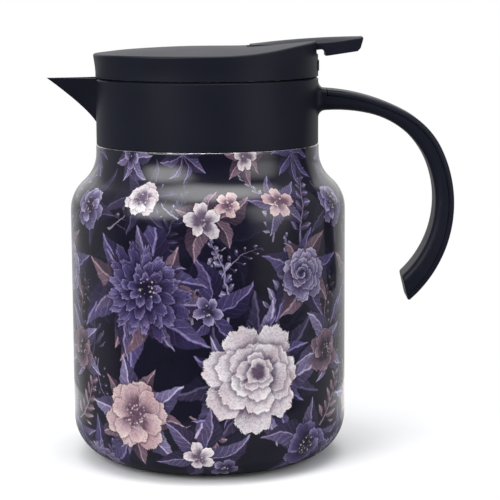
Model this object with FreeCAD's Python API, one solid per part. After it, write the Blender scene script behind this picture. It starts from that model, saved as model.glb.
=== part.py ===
import FreeCAD, Part
import math
import os

Vector = FreeCAD.Vector

# An insulated pouring jug. Its axis is Z, the spout points along -X, the handle along +X,
# and it stands on Z = 0. All sizes are in millimetres and all angles in degrees.

# Steel body
body_radius = 60.2
neck_radius = 48.7
ledge_height = 138.8
neck_straight = 3.7
shoulder_radius = 16.5
base_corner = 18.0
shell_wall = 0.6
ledge_round = 1.2
vacuum_gap = 4.0
liner_corner = 9.0
liner_bottom = 11.5
liner_shoulder_drop = 1.0

# Sleeve of the body inside the collar
sleeve_step = 3.7
sleeve_height = 14.2
sleeve_root_round = 1.0
neck_gap = 1.2
bead_round = 1.6
bead_turn = 45.0
bead_drop = 7.5
mouth_round = 0.5

# Underside
foot_gap = 0.8
lip_setback = 20.5
lip_round = 1.2
bottom_height = 5.0
bottom_wall = 0.8
dimple_radius = 8.0
dimple_round = 2.5
dimple_turn = 60.0
pump_hole_radius = 0.9
plug_radius = 3.2
plug_thickness = 1.2
getter_radius = 6.0
getter_thickness = 2.4
getter_offset = 26.0
base_cover_thickness = 2.6
foot_ring_setback = 4.0
foot_ring_width = 8.0
foot_groove_depth = 1.0

# Collar ring
collar_setback = 0.2
collar_height = 28.5
collar_sleeve_gap = 1.4
collar_chamfer = 0.8
seat_width = 2.8
seat_thickness = 2.0
thread_bore_wall = 2.9
neck_seal_thickness = 1.2
snap_ring_height = 3.0
snap_ring_grip = 0.8

# Spout: level slices from the keel (0) to the collar's top (1)
spout_reach = 21.5
spout_depth = 19.8
spout_half_width = 9.5
spout_keel_power = 1.25
spout_width_power = 0.7
spout_hollow = 0.8
spout_tip_half = 0.7
spout_levels = (0.035, 0.3, 0.55, 0.8, 1.0)
spout_wall = 1.8
channel_depth = 10.3
channel_tip_wall = 3.4
channel_levels = (0.12, 0.4, 0.7, 1.0, 1.12)

# Handle: a straight root, then tangent arcs of (radius, turn)
handle_half_width = 10.0
handle_root_sink = 2.5
handle_root_run = 6.0
handle_root_round = 3.5
handle_outer_drop = 4.8
handle_outer_heading = -4.0
handle_outer_arcs = ((86.0, -24.4), (35.5, -35.8), (56.0, -75.6))
handle_inner_drop = 14.5
handle_inner_heading = 3.3
handle_inner_arcs = ((65.2, -16.2), (36.7, -55.9), (44.5, -68.4))
handle_outer_round = 1.8
handle_inner_round = 3.0
handle_end_round = 0.8
handle_wall = 2.2
handle_cover_thickness = 2.3
handle_seam = 0.25
tongue_depth = 1.5

# Lid shell
lid_gap = 0.5
lid_wall_height = 10.0
lid_front_flare = 1.0
lid_rear_tuck = 0.1
lid_flare_stations = ((0.0, 0.0), (0.25, 0.5), (1.0, 1.0), (1.75, 1.9))
lid_wall = 2.0
lid_skin = 1.5
lid_crown = 12.9
lid_dome_radius = 450.0
lid_sweep_start = 5.0
lid_sweep_radius = 167.0
lid_rim_round = 0.8
rear_pad_half_width = 7.0
rear_pad_low = 2.3
rear_pad_high = 6.7
rear_pad_proud = 0.4
rib_count = 6
rib_thickness = 1.6
rib_depth = 2.0
snap_bead_depth = 0.8
snap_bead_height = 0.7

# Lid deck and stopper
deck_thickness = 2.4
deck_rim_width = 1.0
deck_rim_step = 0.9
stopper_inset = 1.6
stopper_wall = 3.6
stopper_depth = 8.2
stopper_floor = 2.2
deck_seal_thickness = 0.8
deck_seal_width = 2.0
gasket_height = 3.6
gasket_level = 3.5
gasket_groove = 1.8
window_half_width = 6.0
window_low = 10.4
window_high = 20.4
vent_radius = 1.5
boss_radius = 3.2
boss_depth = 13.0
screw_count = 4
screw_radius = 1.2
screw_length = 10.0
screw_head_radius = 2.4
screw_head_height = 1.6
screw_slot_width = 0.6
screw_slot_depth = 0.8

# Thread of the lid: each start has one ridge in the collar and one lug on the stopper
thread_starts = 3
thread_lead = 36.0
thread_first_angle = 80.0
thread_sections = 5
ridge_sweep = 50.0
ridge_thickness = 2.2
ridge_depth = 2.6
ridge_drop = 7.9
lug_delay = 4.0
lug_sweep = 22.0
lug_thickness = 2.4
lug_reach = 4.0

# Thumb lever: heights are above the lid's lower edge
lever_half_width = 9.0
lever_pivot_setback = 12.5
lever_pivot_height = 6.7
lever_pin_radius = 1.5
lever_hub_radius = 3.4
lever_front_reach = 17.5
lever_overhang = 19.5
lever_crest_height = 16.9
lever_crest_out = 19.5
lever_crest_radius = 390.0
lever_droop = 2.2
lever_front_height = 11.0
lever_rim_height = 11.4
lever_notch_width = 2.8
lever_notch_bulge = 1.1
lever_lip_height = 8.8
lever_lip_width = 1.0
lever_tip_height = 10.7
lever_tip_slant = 1.4
lever_tip_round = 2.0
lever_front_round = 1.6
lever_edge_round = 0.6
slot_depth = 2.1
slot_front_gap = 1.2
arm_half_width = 5.6
fork_half_gap = 3.0
fork_half_length = 5.0
fork_nose_radius = 8.0
ear_thickness = 2.8
ear_radius = 3.4

# Valve
valve_hole_radius = 11.0
valve_disc_radius = 14.0
valve_disc_thickness = 2.0
valve_seal_thickness = 2.1
valve_seal_inner = 8.0
stem_radius = 2.5
stem_tip_radius = 1.6
stem_head_radius = 5.2
stem_head_thickness = 1.2
stem_head_rise = 3.0
bush_radius = 4.5
bush_flange_radius = 7.0
bush_flange_thickness = 1.2
spring_radius = 5.2
spring_wire = 0.6
spring_turns = 6

# Clearances, and the depth that joined bodies of one piece sink into each other
press_clearance = 0.02
running_clearance = 0.05
seat_clearance = 0.1
fit_clearance = 0.2
moving_clearance = 0.3
slot_clearance = 0.4
ear_clearance = 0.6
overlap = 0.5

# The solids under the curved tops of the lid and the lever: depth, and points along each side
top_depth = 40.0
top_points = 9


def s_turn(outer, inner, radius):
    """The turn of each of the two equal arcs that lead from one upright wall to another."""
    return math.degrees(math.acos(1 - (outer - inner) / (2 * radius)))


# Places that follow from the sizes above
shoulder_turn = s_turn(body_radius, neck_radius, shoulder_radius)
shoulder_top = ledge_height - neck_straight
shoulder_foot = shoulder_top - 2 * shoulder_radius * math.sin(math.radians(shoulder_turn))
sleeve_radius = neck_radius - sleeve_step
mouth_height = ledge_height + sleeve_height
bead_foot = mouth_height - bead_drop
lip_radius = body_radius - lip_setback
dimple_roof = bottom_height + 2 * dimple_round * (1 - math.cos(math.radians(dimple_turn)))
base_cover_low = bottom_height - base_cover_thickness
foot_groove_top = base_cover_low + foot_groove_depth
foot_ring_outer = lip_radius - foot_ring_setback
foot_ring_inner = foot_ring_outer - foot_ring_width

liner_radius = body_radius - shell_wall - vacuum_gap
liner_neck_radius = sleeve_radius - shell_wall - neck_gap
liner_bore = liner_neck_radius - shell_wall
liner_turn = s_turn(liner_radius, liner_neck_radius, shoulder_radius)
liner_shoulder_top = shoulder_top - liner_shoulder_drop
liner_shoulder_foot = liner_shoulder_top - 2 * shoulder_radius * math.sin(math.radians(liner_turn))

collar_radius = neck_radius - collar_setback
collar_top = ledge_height + collar_height
collar_sleeve_bore = sleeve_radius + collar_sleeve_gap
thread_bore = collar_radius - thread_bore_wall
seat_bore = collar_sleeve_bore - seat_width
seat_low = mouth_height + shell_wall + neck_seal_thickness
seat_high = seat_low + seat_thickness
snap_groove_radius = collar_sleeve_bore + snap_ring_grip
snap_ring_top = bead_foot - fit_clearance
snap_ring_low = snap_ring_top - snap_ring_height
ridge_low = collar_top - ridge_drop
handle_root_x = collar_radius - handle_root_sink

lid_bottom = collar_top + lid_gap
lid_rim = lid_bottom + lid_wall_height
lid_bore = collar_radius - lid_wall
lid_reach = collar_radius + 2 * lid_wall
deck_top = lid_bottom + deck_thickness
deck_radius = lid_bore - fit_clearance
stopper_radius = liner_bore - stopper_inset
stopper_bore = stopper_radius - stopper_wall
stopper_top = lid_bottom - deck_seal_thickness
stopper_bottom = mouth_height - stopper_depth
stopper_floor_top = stopper_bottom + stopper_floor
gasket_low = stopper_bottom + gasket_level
boss_circle = stopper_bore - boss_radius + fit_clearance

pivot_x = collar_radius - lever_pivot_setback
pivot_z = lid_bottom + lever_pivot_height
lever_front = pivot_x - lever_front_reach
lever_tip = collar_radius + lever_overhang
slot_front = lever_front - slot_front_gap
slot_floor = lid_bottom + lever_rim_height - slot_depth
ear_inside = lever_half_width + ear_clearance
ear_outside = ear_inside + ear_thickness

valve_disc_low = stopper_floor_top + seat_clearance + valve_seal_thickness
valve_disc_top = valve_disc_low + valve_disc_thickness
bush_low = lid_bottom - bush_flange_thickness
stem_shoulder = deck_top + stem_head_rise
stem_top = stem_shoulder + stem_head_thickness
fork_top = stem_shoulder - fit_clearance
arm_low = deck_top + ear_clearance


class Path:
    """Straight and round stretches in the XZ plane, each tangent to the one before.

    inset moves the whole path to its left, and the round stretches keep their centres."""

    def __init__(self, x, z, heading, inset=0.0):
        angle = math.radians(heading)
        self.x = x - inset * math.sin(angle)
        self.z = z + inset * math.cos(angle)
        self.heading = heading
        self.inset = inset
        self.restart()

    def point(self):
        return Vector(self.x, 0, self.z)

    def restart(self):
        """Drop the stretches drawn so far: the path begins here."""
        self.start = self.point()
        self.edges = []
        return self

    def ahead(self, length):
        before = self.point()
        self.x += length * math.cos(math.radians(self.heading))
        self.z += length * math.sin(math.radians(self.heading))
        self.edges.append(Part.LineSegment(before, self.point()).toShape())
        return self

    def to_x(self, x):
        return self.ahead((x - self.x) / math.cos(math.radians(self.heading)))

    def to_z(self, z):
        return self.ahead((z - self.z) / math.sin(math.radians(self.heading)))

    def bend(self, radius, turn):
        """A round stretch, to the left where turn is positive."""
        side = math.copysign(1.0, turn)
        reach = side * (radius - side * self.inset)
        angle = math.radians(self.heading)
        centre = self.point() + Vector(-math.sin(angle), 0, math.cos(angle)) * reach

        def on_arc(degrees):
            direction = angle + math.radians(degrees)
            return centre + Vector(math.sin(direction), 0, -math.cos(direction)) * reach

        end = on_arc(turn)
        self.edges.append(Part.Arc(self.point(), on_arc(turn / 2), end).toShape())
        self.x, self.z = end.x, end.z
        self.heading += turn
        return self


def face_between(first, second):
    """The face between two paths that run side by side."""
    ends = Part.LineSegment(first.point(), second.point()).toShape()
    starts = Part.LineSegment(first.start, second.start).toShape()
    edges = first.edges + second.edges + [ends, starts]
    return Part.Face(Part.Wire(Part.sortEdges(edges)[0]))


def polygon_face(points):
    corners = [Vector(x, 0, z) for x, z in points]
    return Part.Face(Part.makePolygon(corners + corners[:1]))


def spin(face):
    return face.revolve(Vector(0, 0, 0), Vector(0, 0, 1), 360)


def across(face, half_width):
    """A face of the XZ plane drawn out to both sides of that plane."""
    return face.translated(Vector(0, -half_width, 0)).extrude(Vector(0, 2 * half_width, 0))


def disc(radius, low, high, x=0.0, y=0.0):
    return Part.makeCylinder(radius, high - low, Vector(x, y, low))


def ring(inner, outer, low, high):
    return disc(outer, low, high).cut(disc(inner, low, high))


def block(x_low, x_high, half_width, low, high):
    return Part.makeBox(x_high - x_low, 2 * half_width, high - low, Vector(x_low, -half_width, low))


def cross_pin(radius, half_width, x, z):
    return Part.makeCylinder(radius, 2 * half_width, Vector(x, -half_width, z), Vector(0, 1, 0))


def turned(shape, degrees):
    return shape.rotated(Vector(0, 0, 0), Vector(0, 0, 1), degrees)


def lifted(shape, height):
    return shape.translated(Vector(0, 0, height))


def joined(first, *others):
    return first.fuse(others).removeSplitter()


def edge_middle(edge):
    return edge.valueAt((edge.FirstParameter + edge.LastParameter) / 2)


def below_surface(height, x_low, x_high, half_width):
    """The solid under the surface z = height(x, y)."""
    shares = [index / (top_points - 1) for index in range(top_points)]
    rows = []
    for x in [x_low + (x_high - x_low) * share for share in shares]:
        rows.append([Vector(x, y, height(x, y)) for y in [half_width * (2 * share - 1) for share in shares]])
    surface = Part.BSplineSurface()
    surface.interpolate(rows)
    return surface.toShape().extrude(Vector(0, 0, -top_depth))


# Steel body


def shell_path(inset):
    path = Path(lip_radius, bottom_height, -90, inset)
    path.to_z(foot_gap + lip_round).bend(lip_round, 90)
    path.to_x(body_radius - base_corner).bend(base_corner, 90)
    path.to_z(shoulder_foot).bend(shoulder_radius, shoulder_turn).bend(shoulder_radius, -shoulder_turn)
    path.to_z(ledge_height - ledge_round).bend(ledge_round, 90)
    path.to_x(sleeve_radius + sleeve_root_round).bend(sleeve_root_round, -90)
    path.to_z(bead_foot)
    path.bend(bead_round, -bead_turn).bend(bead_round, 2 * bead_turn).bend(bead_round, -bead_turn)
    return path.to_z(mouth_height)


def outer_shell():
    return spin(face_between(shell_path(0), shell_path(shell_wall)))


def liner_base_path(inset):
    return Path(0, liner_bottom, 0, inset).to_x(liner_radius - liner_corner).bend(liner_corner, 90)


def liner_base():
    return spin(face_between(liner_base_path(0), liner_base_path(shell_wall)))


def liner_path(inset):
    path = Path(liner_radius, liner_bottom + liner_corner, 90, inset)
    path.to_z(liner_shoulder_foot).bend(shoulder_radius, liner_turn).bend(shoulder_radius, -liner_turn)
    path.to_z(mouth_height - mouth_round).bend(mouth_round, -90)
    return path.to_x(sleeve_radius)


def inner_liner():
    return spin(face_between(liner_path(0), liner_path(shell_wall)))


def bottom_path(inset):
    path = Path(pump_hole_radius, dimple_roof, 0, inset)
    path.to_x(dimple_radius).bend(dimple_round, -dimple_turn).bend(dimple_round, dimple_turn)
    return path.to_x(lip_radius + shell_wall)


def shell_bottom():
    return spin(face_between(bottom_path(0), bottom_path(bottom_wall)))


def seal_bead():
    head = disc(plug_radius, dimple_roof - plug_thickness, dimple_roof)
    plug = disc(pump_hole_radius - running_clearance, dimple_roof, dimple_roof + bottom_wall)
    return joined(head, plug)


def getter():
    floor = bottom_height + bottom_wall
    return disc(getter_radius, floor, floor + getter_thickness, getter_offset)


def base_cover():
    plate = disc(lip_radius - slot_clearance, base_cover_low, bottom_height)
    return plate.cut(ring(foot_ring_inner, foot_ring_outer, base_cover_low, foot_groove_top))


def foot_ring():
    inner = foot_ring_inner + fit_clearance
    outer = foot_ring_outer - fit_clearance
    return ring(inner, outer, 0, foot_groove_top)


# Collar with spout and handle


def collar_ring():
    groove_low = snap_ring_low - fit_clearance
    points = [
        (collar_sleeve_bore, ledge_height),
        (collar_radius, ledge_height),
        (collar_radius, collar_top - collar_chamfer),
        (collar_radius - collar_chamfer, collar_top),
        (thread_bore, collar_top),
        (thread_bore, seat_high),
        (seat_bore, seat_high),
        (seat_bore, seat_low),
        (collar_sleeve_bore, seat_low),
        (collar_sleeve_bore, bead_foot),
        (snap_groove_radius, bead_foot),
        (snap_groove_radius, groove_low),
        (collar_sleeve_bore, groove_low),
    ]
    return spin(polygon_face(points))


def beak_section(root_x, half_width, tip_x, z):
    """A level slice of the spout: two hollow sides that meet in a narrow round tip."""
    sides = []
    for side in (-1, 1):
        root = Vector(root_x, side * half_width, z)
        tip = Vector(tip_x + spout_tip_half, side * spout_tip_half, z)
        hollow = Vector(0, side * spout_hollow * half_width / spout_half_width, 0)
        sides.append((root, (root + tip) / 2 - hollow, tip))
    near, far = sides
    edges = [
        Part.LineSegment(far[0], near[0]),
        Part.Arc(*near),
        Part.Arc(near[2], Vector(tip_x, 0, z), far[2]),
        Part.Arc(*reversed(far)),
    ]
    return Part.Wire([edge.toShape() for edge in edges])


def beak(depth, reach, half_width, root_x, levels):
    """A beak that widens and reaches out from its keel up to the collar's top."""
    sections = []
    for level in levels:
        tip_x = -collar_radius - reach * level**spout_keel_power
        z = collar_top - depth * (1 - level)
        sections.append(beak_section(root_x, half_width * level**spout_width_power, tip_x, z))
    return Part.makeLoft(sections, True, False)


def spout():
    return beak(spout_depth, spout_reach, spout_half_width, -thread_bore - overlap, spout_levels)


def spout_channel():
    reach = spout_reach - channel_tip_wall
    half_width = spout_half_width - spout_wall
    return beak(channel_depth, reach, half_width, -thread_bore + overlap, channel_levels)


def handle_path(drop, heading, arcs, inset, end_wall, from_collar):
    """One side of the handle, offset by inset, that stops end_wall short of the handle's end."""
    path = Path(handle_root_x, collar_top - drop, heading, inset).ahead(handle_root_run)
    if not from_collar:
        path.restart()
    for radius, turn in arcs[:-1]:
        path.bend(radius, turn)
    radius, turn = arcs[-1]
    return path.bend(radius, turn + math.degrees(end_wall / radius))


def outer_path(inset=0.0, end_wall=0.0, from_collar=False):
    return handle_path(
        handle_outer_drop, handle_outer_heading, handle_outer_arcs, inset, end_wall, from_collar
    )


def inner_path(inset=0.0, end_wall=0.0, from_collar=False):
    return handle_path(
        handle_inner_drop, handle_inner_heading, handle_inner_arcs, inset, end_wall, from_collar
    )


def edges_along(solid, path):
    """The solid's edges that copy the edges of a path."""
    middles = [edge_middle(edge) for edge in path.edges]
    found = []
    for edge in solid.Edges:
        middle = edge_middle(edge)
        if any(Vector(middle.x, 0, middle.z).isEqual(point, seat_clearance) for point in middles):
            found.append(edge)
    return found


def handle_blank():
    """The whole handle before its cover is parted from it, with soft edges."""
    outer = outer_path(from_collar=True)
    inner = inner_path(from_collar=True)
    blank = across(face_between(outer, inner), handle_half_width)
    blank = blank.makeFillet(handle_outer_round, edges_along(blank, outer))
    blank = blank.makeFillet(handle_inner_round, edges_along(blank, inner))
    end = min(blank.Faces, key=lambda face: face.CenterOfMass.z)
    return blank.makeFillet(handle_end_round, end.OuterWire.Edges)


def cover_strip(depth):
    """The space that the handle's cover takes up, down to a depth under the handle's outer side."""
    strip = face_between(outer_path(overlap), outer_path(-depth))
    return across(strip, handle_half_width + overlap)


def handle_hollow(depth, wall):
    """The space inside the handle from a depth under its outer side, with a wall on its other sides."""
    space = face_between(outer_path(overlap - depth, wall), inner_path(wall, wall))
    return across(space, handle_half_width - wall)


def handle_cover():
    cover = handle_blank().common(cover_strip(handle_cover_thickness))
    seam_x = outer_path().start.x + handle_seam
    cover = cover.cut(block(0, seam_x, 2 * handle_half_width, 0, 2 * collar_top))
    tongue = handle_hollow(handle_cover_thickness, handle_wall + fit_clearance)
    tongue = tongue.common(cover_strip(handle_cover_thickness + tongue_depth))
    root = block(0, seam_x + handle_wall, 2 * handle_half_width, 0, 2 * collar_top)
    return joined(cover, tongue.cut(root))


def root_edges(body):
    """The edges where the handle leaves the ring."""
    found = []
    for edge in body.Edges:
        middle = edge_middle(edge)
        on_ring = abs(math.hypot(middle.x, middle.y) - collar_radius) < seat_clearance
        at_handle = middle.x > 0 and abs(middle.y) < handle_half_width + overlap
        if on_ring and at_handle and mouth_height - overlap < middle.z < collar_top - handle_root_round:
            found.append(edge)
    return found


def collar():
    body = joined(collar_ring(), spout(), handle_blank())
    body = body.makeFillet(handle_root_round, root_edges(body))
    depth = handle_cover_thickness + handle_seam
    body = body.cut(cover_strip(depth))
    body = body.cut(handle_hollow(depth, handle_wall))
    body = body.cut(disc(thread_bore, seat_high, collar_top + overlap))
    body = body.cut(spout_channel())
    inner = thread_bore - ridge_depth
    outer = thread_bore + overlap
    ridges = []
    for angle in thread_angles():
        ridges.append(helical_ridge(inner, outer, ridge_low, ridge_thickness, angle, ridge_sweep))
    return joined(body, *ridges)


def helical_ridge(inner, outer, low, thickness, first_angle, sweep):
    """A ridge with an upright section that climbs along the lid's thread."""
    sections = []
    for index in range(thread_sections):
        turn = sweep * index / (thread_sections - 1)
        base = low + thread_lead * turn / 360
        corners = [(inner, base), (outer, base), (outer, base + thickness), (inner, base + thickness)]
        sections.append(turned(polygon_face(corners).OuterWire, first_angle + turn))
    return Part.makeLoft(sections, True, False)


def thread_angles():
    return [thread_first_angle + 360 * index / thread_starts for index in range(thread_starts)]


def neck_seal():
    low = mouth_height + shell_wall
    return ring(seat_bore, sleeve_radius, low, low + neck_seal_thickness)


def snap_ring():
    inner = sleeve_radius + fit_clearance
    outer = snap_groove_radius - fit_clearance
    return ring(inner, outer, snap_ring_low, snap_ring_top)


# Lid


def lid_top(x, y):
    """The lid's top: a shallow dome that sweeps up towards the rear."""
    dome = lid_bottom + lid_crown - (x * x + y * y) / (2 * lid_dome_radius)
    return dome + max(0.0, x - lid_sweep_start) ** 2 / (2 * lid_sweep_radius)


def below_lid_top(drop=0.0):
    return lifted(below_surface(lid_top, -lid_reach, lid_reach, lid_reach), -drop)


def lid_blank():
    """The lid's outside: a round wall that flares at the front and stays upright at the rear."""
    shift = (lid_front_flare + lid_rear_tuck) / 2
    growth = (lid_front_flare - lid_rear_tuck) / 2
    sections = []
    for share, level in lid_flare_stations:
        centre = Vector(-shift * share, 0, lid_bottom + lid_wall_height * level)
        circle = Part.Circle(centre, Vector(0, 0, 1), collar_radius + growth * share)
        sections.append(Part.Wire(circle.toShape()))
    blank = Part.makeLoft(sections, True, False).common(below_lid_top())
    rim = [edge for edge in blank.Edges if edge.BoundBox.ZMin > deck_top and edge.BoundBox.YLength > lid_wall]
    return blank.makeFillet(lid_rim_round, rim)


def lid_cover():
    hollow = disc(lid_bore, lid_bottom, lid_bottom + 2 * lid_wall_height).common(below_lid_top(lid_skin))
    pad = ring(
        lid_bore + overlap,
        collar_radius + rear_pad_proud,
        lid_bottom + rear_pad_low,
        lid_bottom + rear_pad_high,
    )
    pad = pad.common(block(0, lid_reach, rear_pad_half_width, lid_bottom, lid_rim))
    rib_low = deck_top + seat_clearance
    rib = block(lid_bore - rib_depth, lid_bore + overlap, rib_thickness / 2, rib_low, lid_rim)
    rib = rib.common(below_lid_top(lid_skin - overlap))
    ribs = [turned(rib, 360 * (index + 0.5) / rib_count) for index in range(rib_count)]
    bead = ring(lid_bore - snap_bead_depth, lid_bore + overlap, lid_bottom, lid_bottom + snap_bead_height)
    cover = joined(lid_blank().cut(hollow), pad, bead, *ribs)
    slot_half_width = lever_half_width + slot_clearance
    return cover.cut(block(slot_front, lid_reach, slot_half_width, slot_floor, 2 * collar_top))


def lid_deck():
    plate = disc(deck_radius, lid_bottom, deck_top)
    plate = plate.cut(ring(deck_radius - deck_rim_width, deck_radius, lid_bottom, lid_bottom + deck_rim_step))
    plate = plate.cut(disc(bush_radius + press_clearance, lid_bottom, deck_top))
    for x, y in screw_places():
        plate = plate.cut(disc(screw_radius + moving_clearance, lid_bottom, deck_top, x, y))
    upright = block(pivot_x - ear_radius, pivot_x + ear_radius, ear_outside, deck_top, pivot_z)
    upright = joined(upright, cross_pin(ear_radius, ear_outside, pivot_x, pivot_z))
    gap = block(pivot_x - ear_radius, pivot_x + ear_radius, ear_inside, deck_top, pivot_z + ear_radius)
    pin_hole = cross_pin(lever_pin_radius + press_clearance, ear_outside, pivot_x, pivot_z)
    return joined(plate, upright.cut(gap).cut(pin_hole))


def screw_places():
    angles = [2 * math.pi * (index + 0.5) / screw_count for index in range(screw_count)]
    return [(boss_circle * math.cos(angle), boss_circle * math.sin(angle)) for angle in angles]


def lid_screws():
    top = deck_top + screw_head_height
    slot = block(-screw_head_radius, screw_head_radius, screw_slot_width / 2, top - screw_slot_depth, top)
    screws = []
    for x, y in screw_places():
        shank = disc(screw_radius, deck_top - screw_length, deck_top, x, y)
        head = disc(screw_head_radius, deck_top, top, x, y)
        screws.append(joined(shank, head).cut(slot.translated(Vector(x, y, 0))))
    return Part.makeCompound(screws)


def stopper():
    cup = disc(stopper_radius, stopper_bottom, stopper_top)
    cup = cup.cut(disc(stopper_bore, stopper_floor_top, stopper_top))
    inside = disc(stopper_bore + fit_clearance, stopper_bottom, lid_bottom)
    bosses = []
    for x, y in screw_places():
        boss = disc(boss_radius, lid_bottom - boss_depth, lid_bottom, x, y).common(inside)
        pilot = disc(screw_radius + press_clearance, deck_top - screw_length - overlap, lid_bottom, x, y)
        bosses.append(boss.cut(pilot))
    delay_rise = thread_lead * lug_delay / 360
    low = ridge_low - moving_clearance - lug_thickness + delay_rise
    inner = stopper_radius - fit_clearance
    outer = stopper_radius + lug_reach
    angles = [angle + lug_delay for angle in thread_angles()]
    lugs = [helical_ridge(inner, outer, low, lug_thickness, angle, lug_sweep) for angle in angles]
    cup = joined(cup, *bosses, *lugs)
    groove_low = gasket_low - seat_clearance
    groove_high = gasket_low + gasket_height + seat_clearance
    cup = cup.cut(ring(stopper_radius - gasket_groove, stopper_radius + overlap, groove_low, groove_high))
    cup = cup.cut(disc(valve_hole_radius, stopper_bottom, stopper_floor_top))
    low = stopper_bottom + window_low
    high = stopper_bottom + window_high
    cup = cup.cut(block(-stopper_radius - overlap, overlap - stopper_bore, window_half_width, low, high))
    vent_start = Vector(stopper_bore - overlap, 0, high)
    return cup.cut(Part.makeCylinder(vent_radius, stopper_wall + 2 * overlap, vent_start, Vector(1, 0, 0)))


def stopper_gasket():
    inner = stopper_radius - gasket_groove + moving_clearance
    return ring(inner, liner_bore - moving_clearance, gasket_low, gasket_low + gasket_height)


def deck_seal():
    outer = stopper_radius - seat_clearance
    return ring(outer - deck_seal_width, outer, stopper_top, lid_bottom)


# Lever and valve


def lever_top(x, y):
    """The lever's top: a gentle arch, with sides that droop where the lever leaves the lid."""
    rim = collar_radius
    crest = lever_crest_height - (x - rim - lever_crest_out) ** 2 / (2 * lever_crest_radius)
    span = lever_overhang if x > rim else rim - lever_front
    droop = lever_droop * max(0.0, 1 - ((x - rim) / span) ** 2)
    return lid_bottom + crest - droop * (y / lever_half_width) ** 2


def lever_plate():
    """The part of the lever that shows, with the round notch behind the lid and the lip after it."""
    rim = collar_radius
    lip = rim + lever_notch_width
    above = lever_crest_height + lever_droop
    outline = [
        (lip, lever_lip_height),
        (lip + lever_lip_width, lever_lip_height),
        (lever_tip - 2 * lever_tip_slant, lever_tip_height),
        (lever_tip - lever_tip_slant, lever_tip_height + lever_tip_slant),
        (lever_tip, lever_crest_height),
        (lever_tip, above),
        (lever_front, above),
        (lever_front, lever_front_height),
        (rim, lever_rim_height),
    ]
    corners = [Vector(x, 0, lid_bottom + height) for x, height in outline]
    edges = [Part.LineSegment(a, b).toShape() for a, b in zip(corners, corners[1:])]
    bulge = Vector(lever_notch_bulge, 0, lever_notch_bulge / 2)
    edges.append(Part.Arc(corners[-1], (corners[-1] + corners[0]) / 2 + bulge, corners[0]).toShape())
    plate = across(Part.Face(Part.Wire(edges)), lever_half_width)
    for radius, x in ((lever_tip_round, lever_tip), (lever_front_round, lever_front)):
        upright = [edge for edge in plate.Edges if edge.BoundBox.YLength < seat_clearance]
        ends = [edge for edge in upright if abs(edge_middle(edge).x - x) < lever_tip_slant]
        plate = plate.makeFillet(radius, ends)
    margin = 2 * overlap
    top = below_surface(lever_top, lever_front - margin, lever_tip + margin, lever_half_width + margin)
    plate = plate.common(top)
    top_edges = []
    for edge in plate.Edges:
        middle = edge_middle(edge)
        if abs(middle.z - lever_top(middle.x, middle.y)) < seat_clearance:
            top_edges.append(edge)
    return plate.makeFillet(lever_edge_round, top_edges)


def thumb_lever():
    web = block(
        pivot_x - lever_hub_radius,
        pivot_x + lever_hub_radius,
        lever_half_width,
        pivot_z,
        lid_bottom + lever_rim_height,
    )
    hub = cross_pin(lever_hub_radius, lever_half_width, pivot_x, pivot_z)
    arm = block(fork_half_length, pivot_x, arm_half_width, arm_low, fork_top)
    nose = cross_pin(fork_nose_radius, arm_half_width, 0, fork_top - fork_nose_radius)
    nose_end = fork_half_length + overlap
    nose = nose.common(block(-fork_half_length, nose_end, arm_half_width, arm_low, fork_top))
    lever = joined(lever_plate(), web, hub, arm, nose)
    fork_gap = block(-2 * fork_half_length, fork_half_gap + overlap, fork_half_gap, lid_bottom, lid_rim)
    pin_hole = cross_pin(lever_pin_radius + running_clearance, lever_half_width, pivot_x, pivot_z)
    return lever.cut(fork_gap).cut(pin_hole)


def lever_pin():
    return cross_pin(lever_pin_radius, ear_outside, pivot_x, pivot_z)


def stem_bush():
    bush = joined(disc(bush_flange_radius, bush_low, lid_bottom), disc(bush_radius, lid_bottom, deck_top))
    return bush.cut(disc(stem_radius + running_clearance, bush_low, deck_top))


def valve_stem():
    plate = disc(valve_disc_radius, valve_disc_low, valve_disc_top)
    rod = disc(stem_radius, valve_disc_top, stem_shoulder)
    return joined(plate, rod, disc(stem_tip_radius, stem_shoulder, stem_top))


def valve_seal():
    low = stopper_floor_top + seat_clearance
    return ring(valve_seal_inner, valve_disc_radius + moving_clearance, low, valve_disc_low)


def stem_head():
    return ring(stem_tip_radius + press_clearance, stem_head_radius, stem_shoulder, stem_top)


def valve_spring():
    low = valve_disc_top + spring_wire + seat_clearance
    height = bush_low - spring_wire - seat_clearance - low
    helix = Part.makeHelix(height / spring_turns, height, spring_radius)
    section = Part.Circle(Vector(spring_radius, 0, 0), Vector(0, 1, 0), spring_wire)
    coil = Part.Wire(helix).makePipeShell([Part.Wire(section.toShape())], True, True)
    return lifted(coil, low)


pieces = {
    "outer_shell": outer_shell,
    "inner_liner": inner_liner,
    "liner_base": liner_base,
    "shell_bottom": shell_bottom,
    "seal_bead": seal_bead,
    "getter": getter,
    "base_cover": base_cover,
    "foot_ring": foot_ring,
    "collar": collar,
    "handle_cover": handle_cover,
    "neck_seal": neck_seal,
    "snap_ring": snap_ring,
    "stopper_gasket": stopper_gasket,
    "lid_cover": lid_cover,
    "lid_deck": lid_deck,
    "stopper": stopper,
    "deck_seal": deck_seal,
    "lid_screws": lid_screws,
    "lever_pin": lever_pin,
    "stem_bush": stem_bush,
    "valve_spring": valve_spring,
    "thumb_lever": thumb_lever,
    "valve_stem": valve_stem,
    "valve_seal": valve_seal,
    "stem_head": stem_head,
}

os.makedirs("parts", exist_ok=True)
for name, make in pieces.items():
    shape = make()
    print(name, len(shape.Solids), shape.isValid(), round(shape.Volume, 1))
    shape.exportStep(f"parts/{name}.step")
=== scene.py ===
"""Looks of an insulated pouring jug with a floral print.

The body is a drawn steel shell, printed all round and lacquered. A moulded collar with
spout and handle snaps onto its neck, and a screw lid with a thumb lever and a pour valve
closes it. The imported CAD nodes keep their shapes, and the printed shell is lathed anew
with coordinates in millimetres for its print.
"""

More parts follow.
